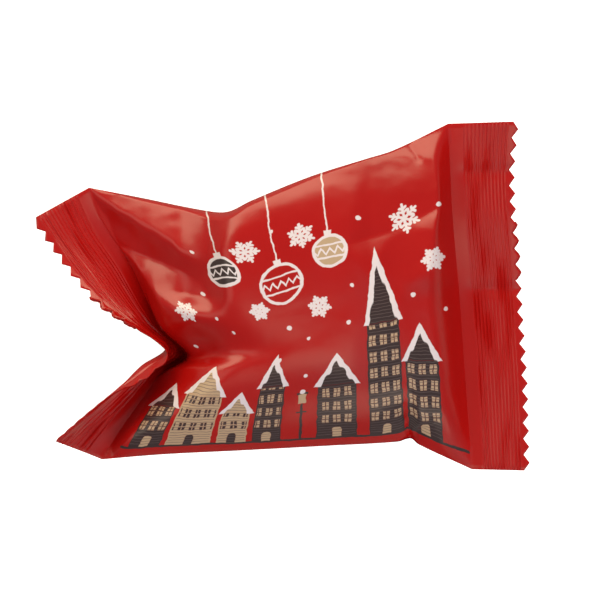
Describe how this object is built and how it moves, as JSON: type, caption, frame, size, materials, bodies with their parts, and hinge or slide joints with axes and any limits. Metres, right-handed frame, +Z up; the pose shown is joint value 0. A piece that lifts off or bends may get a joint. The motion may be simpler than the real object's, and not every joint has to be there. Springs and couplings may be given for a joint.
{
  "type": "wrapped fortune cookie",
  "caption": "Sealed red film flow-wrap pack of a single fortune cookie, lying on its back, with ribbed zigzag-cut fins at both ends, the left fin folded in.",
  "frame": {"origin": "centre of the pack's box in plan, at the surface it lies on", "axes": "+X along the pack from the folded left fin to the flat right fin, +Y along the fins toward the upper edge of the print, +Z up out of the printed front"},
  "size_m": [0.0936, 0.0662, 0.0304],
  "materials": {
    "film": "semi-gloss printed film"
  },
  "bodies": {
    "root": {"wrapper": "film"}
  },
  "joints": []
}
